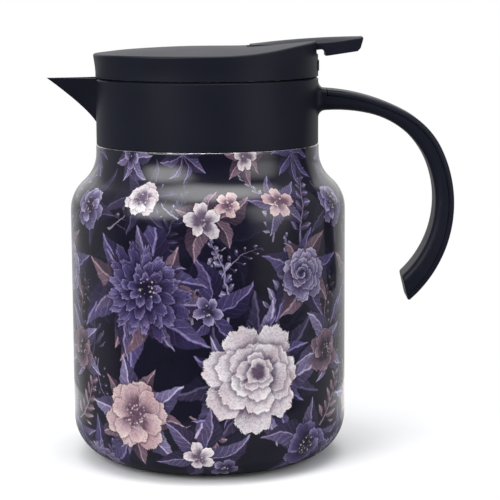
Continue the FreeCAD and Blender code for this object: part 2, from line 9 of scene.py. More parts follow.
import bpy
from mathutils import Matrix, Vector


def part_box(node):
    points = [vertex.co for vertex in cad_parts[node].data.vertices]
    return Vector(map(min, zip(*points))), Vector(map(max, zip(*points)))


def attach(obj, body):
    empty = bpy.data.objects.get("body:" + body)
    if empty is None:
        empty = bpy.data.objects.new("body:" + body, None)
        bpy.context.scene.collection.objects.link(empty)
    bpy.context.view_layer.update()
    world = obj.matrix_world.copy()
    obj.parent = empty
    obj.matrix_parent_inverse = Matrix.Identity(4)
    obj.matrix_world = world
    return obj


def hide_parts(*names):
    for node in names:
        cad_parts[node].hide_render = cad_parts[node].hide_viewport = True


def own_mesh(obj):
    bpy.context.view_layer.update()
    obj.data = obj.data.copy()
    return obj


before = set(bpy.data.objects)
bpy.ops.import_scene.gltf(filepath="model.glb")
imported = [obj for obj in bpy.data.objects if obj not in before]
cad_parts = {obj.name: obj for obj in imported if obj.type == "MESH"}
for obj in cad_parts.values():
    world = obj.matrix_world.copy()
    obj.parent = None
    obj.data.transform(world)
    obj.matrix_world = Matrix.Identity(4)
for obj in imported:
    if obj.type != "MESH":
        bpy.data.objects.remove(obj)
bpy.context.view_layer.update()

import ast
import logging
import math
from dataclasses import dataclass, field
from enum import Enum
from typing import Iterator, Union

import bpy
from mathutils import Matrix, Vector

log = logging.getLogger("pouring_jug")

MM = 0.001
PRINT_MAP = "PrintMillimetres"
BAKE_MAP = "OFBake"

Value = Union[bpy.types.NodeSocket, float, tuple]


def linear(code: str) -> tuple[float, float, float, float]:
    """Turn an sRGB hex colour into linear RGBA.

    Args:
        code: The colour as "#rrggbb".

    Returns:
        Linear red, green, blue and an alpha of 1.
    """
    shares = [int(code[start:start + 2], 16) / 255 for start in (1, 3, 5)]
    flat = [share / 12.92 if share <= 0.04045 else ((share + 0.055) / 1.055) ** 2.4 for share in shares]
    return (*flat, 1.0)


def add_node(tree: bpy.types.NodeTree, kind: str, links: dict[Union[int, str], Value],
             **settings: object) -> bpy.types.Node:
    """Add one node with its settings, input values and links.

    Args:
        tree: The tree that gets the node.
        kind: Blender's name of the node type.
        links: What goes into each input: a socket is linked, anything else is set.
        **settings: The node's own properties.

    Returns:
        The new node.
    """
    node = tree.nodes.new(kind)
    for name, value in settings.items():
        setattr(node, name, value)
    for key, value in links.items():
        if isinstance(value, bpy.types.NodeSocket):
            tree.links.new(value, node.inputs[key])
        else:
            node.inputs[key].default_value = value
    return node


class Sketch:
    """A node tree being drawn, with the named values that its formulas may use.

    A formula is plain arithmetic. Each sign or word of it becomes one node, laid down in
    the order in which it is needed.
    """

    SIGNS = {ast.Add: "ADD", ast.Sub: "SUBTRACT", ast.Mult: "MULTIPLY", ast.Div: "DIVIDE", ast.Pow: "POWER"}
    MATHS = {"sin": "SINE", "cos": "COSINE", "size": "ABSOLUTE", "least": "MINIMUM", "most": "MAXIMUM",
             "floor": "FLOOR", "fract": "FRACT", "root": "SQRT", "bearing": "ARCTAN2",
             "wrap": "FLOORED_MODULO", "nearest": "ROUND", "above": "GREATER_THAN"}
    WORDS = {
        "ease": ("ShaderNodeMapRange", {"interpolation_type": "SMOOTHSTEP", "clamp": False},
                 ("From Min", "From Max", "Value"), 0),
        "mix": ("ShaderNodeMix", {"data_type": "RGBA"}, (0, 6, 7), 2),
        "stain": ("ShaderNodeMix", {"data_type": "RGBA", "blend_type": "MULTIPLY"}, (0, 6, 7), 2),
        "streak": ("ShaderNodeTexNoise", {"noise_dimensions": "1D"}, ("W", "Detail"), 0),
        "cloud": ("ShaderNodeTexNoise", {}, ("Vector", "Scale", "Detail"), 0),
        "cells": ("ShaderNodeTexVoronoi", {}, ("Vector", "Scale"), 0),
        "place": ("ShaderNodeCombineXYZ", {}, (0, 1, 2), 0),
        "scaled": ("ShaderNodeVectorMath", {"operation": "SCALE"}, (0, "Scale"), 0),
        "bump": ("ShaderNodeBump", {}, ("Height", "Distance"), 0),
    }

    def __init__(self, tree: bpy.types.NodeTree, **known: Value) -> None:
        """Start a sketch in a tree with some named values."""
        self.tree = tree
        self.known: dict[str, Value] = {"pi": math.pi, **known}

    def set(self, more: dict[str, Value] = {}, **formulas: str) -> None:
        """Lay out formulas in order and keep each result under its name.

        Args:
            more: Further named values for these formulas only.
            **formulas: The formulas by the names of their results.
        """
        for name, text in formulas.items():
            self.known[name] = self.get(text, **more)

    def get(self, text: str, **more: Value) -> Value:
        """Lay out one formula.

        Args:
            text: The formula.
            **more: Further named values.

        Returns:
            The socket that carries the result, or a number if nothing in it varies.
        """
        return self._lay(ast.parse(text).body[0].value, {**self.known, **more})

    def _lay(self, item: ast.expr, names: dict[str, Value]) -> Value:
        """Lay out one part of a formula after the parts that it needs.

        Args:
            item: The parsed part.
            names: The named values.

        Returns:
            The part's socket or number.
        """
        if isinstance(item, ast.Constant):
            return float(item.value)
        if isinstance(item, ast.Name):
            return names[item.id]
        if isinstance(item, ast.UnaryOp):
            return self._join("MULTIPLY", [self._lay(item.operand, names), -1.0])
        if isinstance(item, ast.BinOp):
            return self._join(self.SIGNS[type(item.op)], [self._lay(item.left, names), self._lay(item.right, names)])
        values = [self._lay(part, names) for part in item.args]
        if item.func.id in self.MATHS:
            return self._join(self.MATHS[item.func.id], values)
        kind, settings, inputs, output = self.WORDS[item.func.id]
        return add_node(self.tree, kind, dict(zip(inputs, values)), **settings).outputs[output]

    def _join(self, operation: str, values: list[Value]) -> Value:
        """Put one step of arithmetic on the values, as a node or, for numbers, at once.

        Args:
            operation: The Math node's operation.
            values: One or two values.

        Returns:
            The result's socket or number.
        """
        sums = {"ADD": float.__add__, "SUBTRACT": float.__sub__, "MULTIPLY": float.__mul__,
                "DIVIDE": float.__truediv__, "POWER": float.__pow__}
        if operation in sums and all(isinstance(value, float) for value in values):
            return sums[operation](*values)
        return add_node(self.tree, "ShaderNodeMath", dict(enumerate(values)), operation=operation).outputs[0]


class Tint(Enum):
    """Dark, middle and light colour of a painted motif."""

    CREAM = ("#5a4a60", "#c8c0c4", "#e9e3e1")
    BLUSH = ("#5a4152", "#b0959a", "#d8c6be")
    LILAC = ("#251f39", "#5f567a", "#bab1cd")
    VIOLET = ("#151028", "#383057", "#887dab")
    MAUVE = ("#281e2e", "#5c4859", "#a58c95")
    SLATE = ("#100e20", "#252039", "#5a5270")
    PLUM = ("#1a142a", "#41375a", "#958bac")
    TWIG = ("#2c293d", "#6a6379", "#a59db0")
    DUSK = ("#0e0d1d", "#151328", "#222037")


@dataclass(frozen=True)
class Ring:
    """One ring of petals of a flower.

    share is the ring's radius as a share of the flower's, turn its start as a share of a
    petal, notch how deep the gaps between petals are and blunt how square the petals end.
    """

    share: float
    petals: int
    turn: float
    notch: float
    blunt: float


class Motif:
    """A painted motif: a node group that lays it over the colour under it.

    Its own coordinates run along its length or radius from 0 to 1, and it repeats once in
    each width of the design.
    """

    name = "motif"
    tile = 1.0
    SHEET = ("X", "Y", "Cloud", "Dots")
    PLACING = ("At X", "At Y", "Turn", "Size", "Bend", "Count", "Width")
    TINTS = ("Deep", "Middle", "Light")
    SHADE = "#0b0a17"

    def __init__(self, tile: float) -> None:
        """Draw the group for a design that is tile millimetres wide."""
        self.tree = bpy.data.node_groups.new(self.name, "ShaderNodeTree")
        for key in (*self.SHEET, *self.PLACING):
            self.tree.interface.new_socket(key, in_out="INPUT", socket_type="NodeSocketFloat")
        for key in (*self.TINTS, "Under"):
            self.tree.interface.new_socket(key, in_out="INPUT", socket_type="NodeSocketColor")
        self.tree.interface.new_socket("Colour", in_out="OUTPUT", socket_type="NodeSocketColor")
        given = add_node(self.tree, "NodeGroupInput", {}).outputs
        named = {socket.name.lower().replace(" ", "_"): socket for socket in given if socket.name}
        sketch = Sketch(self.tree, tile=tile, shade=linear(self.SHADE), **named)
        sketch.set(dx="wrap(x - at_x + tile / 2, tile) - tile / 2", dy="y - at_y",
                   long="(dx * cos(turn) + dy * sin(turn)) / size", wide="(dy * cos(turn) - dx * sin(turn)) / size")
        self.draw(sketch)
        add_node(self.tree, "NodeGroupOutput", {"Colour": sketch.known["under"]})

    def draw(self, sketch: Sketch) -> None:
        """Lay the motif over the value named under."""
        raise NotImplementedError

    @staticmethod
    def lay(sketch: Sketch, mask: str, tone: str) -> None:
        """Lay the motif's three tints over what is under it.

        Args:
            sketch: The group's sketch.
            mask: Formula of the covered share.
            tone: Formula of the tone, 0 for the dark tint and 1 for the light one.
        """
        sketch.set(tone=tone)
        sketch.set(dark="mix(ease(0, 0.5, tone), deep, middle)", paint="mix(ease(0.45, 1, tone), dark, light)")
        sketch.set(under=f"mix({mask}, under, paint)")


class Leaves(Motif):
    """A leaf, or a ring of leaves, with a midrib, side veins and a toothed edge."""

    name = "leaves"

    def draw(self, sketch: Sketch) -> None:
        """Lay each leaf as a bent lens that fans out from the middle."""
        sketch.set(
            angle="bearing(wide, long)", many="above(count, 1.5)", sector="nearest(angle * count / (2 * pi))",
            chance="fract(sin(sector * 12.99 + at_x * 0.37 + 1.7) * 437.58)",
            local="angle - sector * 2 * pi / count + (chance - 0.5) * 0.5 * many",
            far="root(long * long + wide * wide) / (1 - 0.35 * chance * many)",
            t="most(far * cos(local), 0.0001)",
            side="far * sin(local) - bend * t * (1 - t) * (1 + many * (chance * 4 - 3))",
            off="size(side)",
            half="width * sin(pi * least(t, 1) ** 0.72) * (1 + 0.1 * fract(t * 8 - off * 2))",
            grain="streak(t * 4 - off * 42 + above(side, 0) * 31 + at_y + cloud * 5, 2)",
            vein="ease(0.1, 0.02, size(fract((t - off * 1.3) * 7) - 0.5)) * ease(0, 0.5, 1 - t)",
            rib="ease(0.022, 0.006, off)",
        )
        self.lay(sketch, "ease(0, 0.018, half - off) * above(1, t)",
                 "0.34 * ease(-0.03, 0.03, side) + 0.3 * t + 0.6 * (grain - 0.5) + 0.2 * vein + 0.45 * rib")


class Sprig(Motif):
    """A bent stem with slanting leaflets on both sides in turn."""

    name = "sprig"
    slant = 0.75
    clear = 0.12

    def draw(self, sketch: Sketch) -> None:
        """Lay the stem and what grows on it, cell by cell along the stem."""
        sketch.set(
            {"slant": self.slant},
            side="wide - bend * long * (1 - long)", off="size(side)", right="above(0, side)",
            stem="ease(0, 0.008, 0.016 * (1.25 - long) - off) * above(long, 0) * above(1, long)",
            run="(long - off * slant) * count + 0.5 * right",
            chance="fract(sin(floor(run) * 7.13 + right * 3.1 + at_y) * 437.58)",
            along="(fract(run) - 0.5) / count",
        )
        sketch.set({"clear": self.clear}, grown="above(long, clear) * above(1.02, long)")
        self.grow(sketch)
        self.lay(sketch, "most(stem * 0.8, leaf)", "bright * leaf + (1 - leaf) * 0.75")

    def grow(self, sketch: Sketch) -> None:
        """Draw the leaflets' cover and brightness."""
        sketch.set(
            reach="width * (1.15 - long) * (0.75 + 0.5 * chance)",
            out="least(most(off / reach, 0.0001), 1)",
            leaf="ease(0, 0.012, 0.36 / count * sin(pi * out ** 0.8) - size(along)) * grown",
            bright="0.25 + 0.5 * out + 0.3 * (chance - 0.5) + 0.3 * ease(0.012, 0.002, size(along))",
        )


class Berries(Sprig):
    """A bent stem with round berries on short stalks."""

    name = "berries"
    slant = 0.6
    clear = 0.18

    def grow(self, sketch: Sketch) -> None:
        """Draw the berries' cover and brightness, each with one small light spot."""
        sketch.set(
            reach="width * (1.3 - long) * (0.6 + 0.8 * chance)", past="off - reach",
            ball="root(along * along + past * past)",
            stalk="ease(0, 0.006, 0.008 - size(along)) * above(reach, off) * 0.7",
            leaf="most(ease(0, 0.012, 0.05 - 0.02 * chance - ball), stalk) * grown",
            spot="root((along - 0.012) * (along - 0.012) + (past - 0.01) * (past - 0.01))",
            bright="0.15 + 0.85 * ease(0.03, 0, spot)",
        )


class Flower(Motif):
    """An open flower: rings of petals, the outer ring first, round a stippled heart."""

    rings: tuple[Ring, ...] = ()
    heart = 0.0
    lean = 0.1
    POLLEN = "#d2c2c0"

    def draw(self, sketch: Sketch) -> None:
        """Lay the rings of petals and then the heart."""
        sketch.set(near="root(long * long + wide * wide)",
                   grain="streak(bearing(wide, long) * 9 + near * 2 + at_x + cloud * 4, 2)")
        for index, ring in enumerate(self.rings):
            self.draw_ring(sketch, ring, 3.1 * index + 1.3, "deep" if index else "shade")
        if self.heart:
            self.draw_heart(sketch)

    def draw_ring(self, sketch: Sketch, ring: Ring, seed: float, dark: str) -> None:
        """Lay one ring of petals and the shade that it throws on what is under it.

        Args:
            sketch: The group's sketch.
            ring: The ring's sizes.
            seed: Makes the petals of this ring differ from those of the others.
            dark: Name of the shade's colour.
        """
        more = {"share": ring.share, "petals": float(ring.petals), "start": ring.turn, "notch": ring.notch,
                "blunt": ring.blunt, "lean": self.lean * (1 - ring.share), "seed": seed}
        sketch.set(
            more, rx="long - lean", ry="wide - lean * 0.6", r="root(rx * rx + ry * ry)",
            petal="bearing(ry, rx) * petals / (2 * pi) + start", across="fract(petal) - 0.5",
            chance="fract(sin(floor(petal + 0.0001) * 4.7 + seed + at_x) * 437.58)",
            ruffle="0.025 * sin(petal * 23 + chance * 9) + 0.1 * (grain - 0.5)",
            edge="share * (1 - 0.24 * chance) * (1 - notch * size(2 * across) ** blunt + ruffle)",
            inside="edge - r", t="r / edge",
            under=f"mix(ease(-0.11, 0.02, inside) * 0.62, under, {dark})",
        )
        self.lay(sketch, "ease(0, 0.022, inside)",
                 "0.04 + 0.62 * ease(0.25, 1, t) + 0.7 * (grain - 0.5) + 0.3 * across"
                 " - 0.42 * ease(0.3, 0.5, size(across)) * (1.15 - t)"
                 " + 0.22 * ease(0.05, 0.015, inside) + 0.3 * (chance - 0.5)")

    def draw_heart(self, sketch: Sketch) -> None:
        """Lay the dark heart and a ring of pale stamens."""
        more = {"lean": self.lean * 0.9, "heart": self.heart, "pollen": linear(self.POLLEN)}
        sketch.set(
            more, rx="long - lean", ry="wide - lean * 0.6", r="root(rx * rx + ry * ry)",
            dot="ease(0.42, 0.2, dots)",
            core="1 - ease(heart * 0.5, heart, r + 0.1 * heart * (dot - 0.5))",
            under="mix(core * (0.65 + 0.35 * dot), under, deep)",
            spark="dot * ease(heart * 1.5, heart * 0.9, r) * ease(heart * 0.25, heart * 0.7, r) * 0.75",
        )
        sketch.set(more, under="mix(spark, under, pollen)")


class Camellia(Flower):
    """A full flower of five rings of broad petals, closed in the middle."""

    name = "camellia"
    rings = (Ring(1.0, 7, 0.1, 0.2, 3.0), Ring(0.8, 6, 0.55, 0.2, 3.0), Ring(0.6, 5, 0.2, 0.2, 2.6),
             Ring(0.42, 5, 0.7, 0.22, 2.4), Ring(0.25, 3, 0.1, 0.22, 2.2))
    lean = 0.14


class Dahlia(Flower):
    """A flower of four rings of many pointed petals."""

    name = "dahlia"
    rings = (Ring(1.0, 17, 0.1, 0.3, 2.0), Ring(0.82, 15, 0.5, 0.3, 2.0), Ring(0.63, 12, 0.3, 0.32, 2.0),
             Ring(0.43, 9, 0.6, 0.34, 2.0))
    heart = 0.17


class WildRose(Flower):
    """A flat flower of two rings of six petals with a broad heart."""

    name = "wild_rose"
    rings = (Ring(1.0, 6, 0.3, 0.3, 3.4), Ring(0.86, 6, 0.8, 0.3, 3.4))
    heart = 0.27
    lean = 0.06


class Blossom(Flower):
    """A small flower of five petals."""

    name = "blossom"
    rings = (Ring(1.0, 5, 0.3, 0.42, 2.6),)
    heart = 0.24
    lean = 0.0


class Drawn(Enum):
    """The kinds of motif in the design."""

    LEAVES = Leaves
    SPRIG = Sprig
    BERRIES = Berries
    CAMELLIA = Camellia
    DAHLIA = Dahlia
    WILD_ROSE = WildRose
    BLOSSOM = Blossom


@dataclass(frozen=True)
class Stroke:
    """One motif of the design: where it is in millimetres, how it lies and how large it is."""

    kind: Drawn
    tint: Tint
    x: float
    y: float
    turn: float
    size: float
    bend: float = 0.0
    count: int = 1
    width: float = 0.2


DESIGN = (
    Stroke(Drawn.LEAVES, Tint.DUSK, 20, 24, 20, 36, 0.5, 6, 0.22),
    Stroke(Drawn.LEAVES, Tint.DUSK, 100, 76, 50, 42, 0.5, 7, 0.2),
    Stroke(Drawn.LEAVES, Tint.DUSK, 66, 114, 10, 34, 0.5, 6, 0.22),
    Stroke(Drawn.LEAVES, Tint.DUSK, 6, 102, 70, 30, 0.5, 5, 0.22),
    Stroke(Drawn.LEAVES, Tint.DUSK, 62, 18, 40, 30, 0.5, 6, 0.22),
    Stroke(Drawn.SPRIG, Tint.TWIG, 58, 72, 72, 40, 0.5, 8, 0.14),
    Stroke(Drawn.SPRIG, Tint.LILAC, 72, 78, 104, 40, -0.4, 9, 0.15),
    Stroke(Drawn.SPRIG, Tint.SLATE, 6, 60, 100, 36, -0.5, 7, 0.2),
    Stroke(Drawn.SPRIG, Tint.PLUM, 106, 110, 66, 36, 0.5, 7, 0.2),
    Stroke(Drawn.SPRIG, Tint.MAUVE, 56, 40, -62, 32, 0.6, 6, 0.24),
    Stroke(Drawn.SPRIG, Tint.SLATE, 40, 108, 66, 34, -0.5, 7, 0.2),
    Stroke(Drawn.SPRIG, Tint.LILAC, 88, 80, 74, 36, -0.5, 7, 0.2),
    Stroke(Drawn.SPRIG, Tint.MAUVE, 118, 30, 62, 34, -0.5, 7, 0.22),
    Stroke(Drawn.SPRIG, Tint.PLUM, 12, 2, 66, 30, 0.5, 7, 0.22),
    Stroke(Drawn.SPRIG, Tint.TWIG, 92, 112, 112, 32, -0.5, 8, 0.16),
    Stroke(Drawn.BERRIES, Tint.LILAC, 68, 94, 40, 24, 0.6, 6, 0.16),
    Stroke(Drawn.BERRIES, Tint.PLUM, 10, 60, -64, 24, -0.6, 6, 0.16),
    Stroke(Drawn.BERRIES, Tint.LILAC, 98, 29, -36, 22, 0.5, 6, 0.16),
    Stroke(Drawn.BERRIES, Tint.TWIG, 18, 116, 50, 26, -0.5, 6, 0.16),
    Stroke(Drawn.BERRIES, Tint.MAUVE, 122, 68, 74, 26, 0.5, 6, 0.16),
    Stroke(Drawn.BERRIES, Tint.LILAC, 52, 122, 124, 24, 0.5, 6, 0.16),
    Stroke(Drawn.LEAVES, Tint.VIOLET, 64, 84, 20, 24, 0.4, 5, 0.22),
    Stroke(Drawn.LEAVES, Tint.VIOLET, 36, 91, 15, 41, 0.35, 6, 0.21),
    Stroke(Drawn.LEAVES, Tint.MAUVE, 36, 91, 62, 37, -0.4, 4, 0.2),
    Stroke(Drawn.LEAVES, Tint.PLUM, 36, 91, 38, 32, 0.4, 7, 0.17),
    Stroke(Drawn.DAHLIA, Tint.VIOLET, 36, 91, 10, 23),
    Stroke(Drawn.LEAVES, Tint.SLATE, 84, 55, 35, 43, 0.35, 7, 0.18),
    Stroke(Drawn.LEAVES, Tint.LILAC, 84, 55, 0, 39, 0.4, 5, 0.18),
    Stroke(Drawn.LEAVES, Tint.VIOLET, 84, 55, 18, 33, -0.4, 8, 0.17),
    Stroke(Drawn.LEAVES, Tint.LILAC, 122, 62, 40, 22, 0.4, 5, 0.23),
    Stroke(Drawn.WILD_ROSE, Tint.MAUVE, 122, 62, 20, 11),
    Stroke(Drawn.CAMELLIA, Tint.CREAM, 84, 55, 40, 24),
    Stroke(Drawn.LEAVES, Tint.LILAC, 31, 38, 100, 31, 0.35, 5, 0.21),
    Stroke(Drawn.LEAVES, Tint.MAUVE, 31, 38, 60, 27, -0.4, 5, 0.2),
    Stroke(Drawn.WILD_ROSE, Tint.BLUSH, 31, 38, 0, 17),
    Stroke(Drawn.LEAVES, Tint.VIOLET, 108, 97, 10, 27, 0.4, 5, 0.22),
    Stroke(Drawn.LEAVES, Tint.MAUVE, 108, 97, 45, 24, -0.4, 4, 0.22),
    Stroke(Drawn.CAMELLIA, Tint.LILAC, 108, 97, 140, 14),
    Stroke(Drawn.LEAVES, Tint.MAUVE, 66, 122, 20, 20, 0.4, 5, 0.25),
    Stroke(Drawn.BLOSSOM, Tint.CREAM, 62, 121, 10, 8.5),
    Stroke(Drawn.BLOSSOM, Tint.BLUSH, 73, 128, 50, 7),
    Stroke(Drawn.BLOSSOM, Tint.LILAC, 64, 84, 40, 7.5),
    Stroke(Drawn.LEAVES, Tint.SLATE, 34, 130, 70, 20, 0.4, 6, 0.23),
    Stroke(Drawn.WILD_ROSE, Tint.CREAM, 34, 130, 0, 9),
    Stroke(Drawn.LEAVES, Tint.SLATE, 4, 125, 60, 22, 0.4, 5, 0.23),
    Stroke(Drawn.WILD_ROSE, Tint.LILAC, 4, 125, 30, 10.5),
    Stroke(Drawn.LEAVES, Tint.PLUM, 96, 128, 30, 18, 0.4, 5, 0.26),
    Stroke(Drawn.BLOSSOM, Tint.BLUSH, 96, 128, 0, 8),
    Stroke(Drawn.LEAVES, Tint.LILAC, 22, 150, 200, 15, 0.4, 7, 0.24),
    Stroke(Drawn.LEAVES, Tint.PLUM, 52, 150, 240, 17, 0.4, 8, 0.2),
    Stroke(Drawn.LEAVES, Tint.MAUVE, 84, 149, 220, 14, 0.4, 7, 0.24),
    Stroke(Drawn.LEAVES, Tint.VIOLET, 114, 150, 260, 17, 0.4, 8, 0.2),
    Stroke(Drawn.BLOSSOM, Tint.CREAM, 84, 149, 0, 6.5),
    Stroke(Drawn.BLOSSOM, Tint.LILAC, 22, 150, 30, 6.5),
    Stroke(Drawn.LEAVES, Tint.PLUM, 60, 22, 70, 24, 0.4, 6, 0.22),
    Stroke(Drawn.BLOSSOM, Tint.CREAM, 60, 22, 20, 8),
    Stroke(Drawn.BLOSSOM, Tint.LILAC, 71, 14, 50, 6.5),
    Stroke(Drawn.LEAVES, Tint.PLUM, 110, 22, 80, 26, 0.4, 5, 0.23),
    Stroke(Drawn.WILD_ROSE, Tint.VIOLET, 110, 22, 10, 13),
    Stroke(Drawn.LEAVES, Tint.VIOLET, 8, 14, 20, 24, 0.4, 6, 0.22),
    Stroke(Drawn.DAHLIA, Tint.LILAC, 8, 14, 0, 12),
)


@dataclass(frozen=True)
class Finish:
    """A material of the jug, drawn with nodes."""

    name: str

    def draw(self, sketch: Sketch) -> dict[str, Value]:
        """Draw the finish and return what goes into the shader's sockets."""
        raise NotImplementedError

    def material(self) -> bpy.types.Material:
        """Make the Blender material, once.

        Returns:
            The material of this finish.
        """
        made = bpy.data.materials.get(self.name)
        if made is None:
            made = bpy.data.materials.new(self.name)
            made.use_nodes = True
            made.node_tree.nodes.clear()
            where = add_node(made.node_tree, "ShaderNodeTexCoord", {}).outputs["Object"]
            sketch = Sketch(made.node_tree, where=where)
            sketch.set(at="scaled(where, 1000)")
            surface = add_node(made.node_tree, "ShaderNodeBsdfPrincipled", self.draw(sketch))
            add_node(made.node_tree, "ShaderNodeOutputMaterial", {"Surface": surface.outputs[0]})
        return made


@dataclass(frozen=True)
class MouldedPlastic(Finish):
    """Injection-moulded plastic from a spark-eroded mould: satin, with an even fine grain.

    The eye sees a soft broad highlight, broken by the grain, and slightly paler clouds
    where the plastic flowed. The real grain of about 0.1 mm is drawn coarser to show.
    """

    dark: str
    pale: str
    roughness: float
    grain: float = 0.45
    flow: float = 35.0
    relief: float = 0.012 * MM
    ior: float = 1.52
    shine: float = 0.3

    def draw(self, sketch: Sketch) -> dict[str, Value]:
        """Draw the grain, the flow clouds and the faint rubbed patches."""
        sketch.set(
            {"grain": 1 / self.grain, "flow": 1 / self.flow, "dark": linear(self.dark), "pale": linear(self.pale),
             "rough": self.roughness, "relief": self.relief},
            fine="cloud(at, grain, 2)", broad="cloud(at, flow, 3)",
            colour="mix(ease(0.3, 0.7, broad) * 0.7 + 0.3 * fine, dark, pale)",
            sheen="rough + 0.1 * (broad - 0.5) + 0.08 * (fine - 0.5)",
            normal="bump(fine, relief)",
        )
        return {"Base Color": sketch.known["colour"], "Roughness": sketch.known["sheen"],
                "Normal": sketch.known["normal"], "IOR": self.ior, "Specular IOR Level": self.shine}


@dataclass(frozen=True)
class SpunSteel(Finish):
    """Stainless steel sheet, drawn and spun: fine rings round the axis and a silky shine."""

    dark: str = "#a9abae"
    pale: str = "#d2d3d6"
    roughness: float = 0.26
    ring: float = 0.5

    def draw(self, sketch: Sketch) -> dict[str, Value]:
        """Draw the rings by height and radius, and broad clouds of handling."""
        split = add_node(sketch.tree, "ShaderNodeSeparateXYZ", {0: sketch.known["at"]}).outputs
        sketch.set(
            {"x": split[0], "y": split[1], "z": split[2], "fine": 1 / self.ring, "rough": self.roughness,
             "dark": linear(self.dark), "pale": linear(self.pale), "relief": 0.004 * MM},
            rings="streak((z + root(x * x + y * y)) * fine, 2)", broad="cloud(at, 0.04, 2)",
            colour="mix(0.6 * rings + 0.4 * broad, dark, pale)",
            sheen="rough + 0.16 * (rings - 0.5) + 0.1 * (broad - 0.5)", normal="bump(rings, relief)",
        )
        return {"Base Color": sketch.known["colour"], "Roughness": sketch.known["sheen"], "Metallic": 1.0,
                "Normal": sketch.known["normal"]}


@dataclass(frozen=True)
class DrawnWire(Finish):
    """Cold-drawn stainless wire, rod and screws: bright, with fine lengthwise scratches."""

    dark: str = "#b4b5b8"
    pale: str = "#dcdde0"

    def draw(self, sketch: Sketch) -> dict[str, Value]:
        """Draw short scratches and dulled spots."""
        sketch.set(
            {"dark": linear(self.dark), "pale": linear(self.pale), "relief": 0.003 * MM},
            fine="cloud(at, 3, 3)", broad="cloud(at, 0.4, 2)", colour="mix(fine, dark, pale)",
            sheen="0.16 + 0.14 * broad + 0.1 * fine", normal="bump(fine, relief)",
        )
        return {"Base Color": sketch.known["colour"], "Roughness": sketch.known["sheen"], "Metallic": 1.0,
                "Normal": sketch.known["normal"]}


@dataclass(frozen=True)
class CastSolder(Finish):
    """Solder and sintered metal that set without a mould: dull grey and lumpy."""

    dark: str = "#6f7073"
    pale: str = "#a2a3a5"

    def draw(self, sketch: Sketch) -> dict[str, Value]:
        """Draw the lumps and the oxide film."""
        sketch.set(
            {"dark": linear(self.dark), "pale": linear(self.pale), "relief": 0.08 * MM},
            lumps="cloud(at, 0.9, 3)", film="cloud(at, 0.25, 2)", colour="mix(film, dark, pale)",
            sheen="0.42 + 0.2 * (film - 0.5)", normal="bump(lumps, relief)",
        )
        return {"Base Color": sketch.known["colour"], "Roughness": sketch.known["sheen"], "Metallic": 1.0,
                "Normal": sketch.known["normal"]}


@dataclass(frozen=True)
class PressedRubber(Finish):
    """Rubber or silicone pressed in a mould: matt, with a dusting bloom and tiny pits."""

    dark: str
    pale: str
    roughness: float
    glow: float = 0.0

    def draw(self, sketch: Sketch) -> dict[str, Value]:
        """Draw the bloom and the pits."""
        sketch.set(
            {"dark": linear(self.dark), "pale": linear(self.pale), "rough": self.roughness, "relief": 0.02 * MM},
            pits="cloud(at, 1.6, 2)", bloom="cloud(at, 0.12, 3)",
            colour="mix(ease(0.35, 0.7, bloom), dark, pale)", sheen="rough + 0.16 * (bloom - 0.5)",
            normal="bump(pits, relief)",
        )
        return {"Base Color": sketch.known["colour"], "Roughness": sketch.known["sheen"],
                "Normal": sketch.known["normal"], "IOR": 1.41, "Subsurface Weight": self.glow,
                "Subsurface Radius": (0.004, 0.004, 0.004), "Subsurface Scale": 0.5}


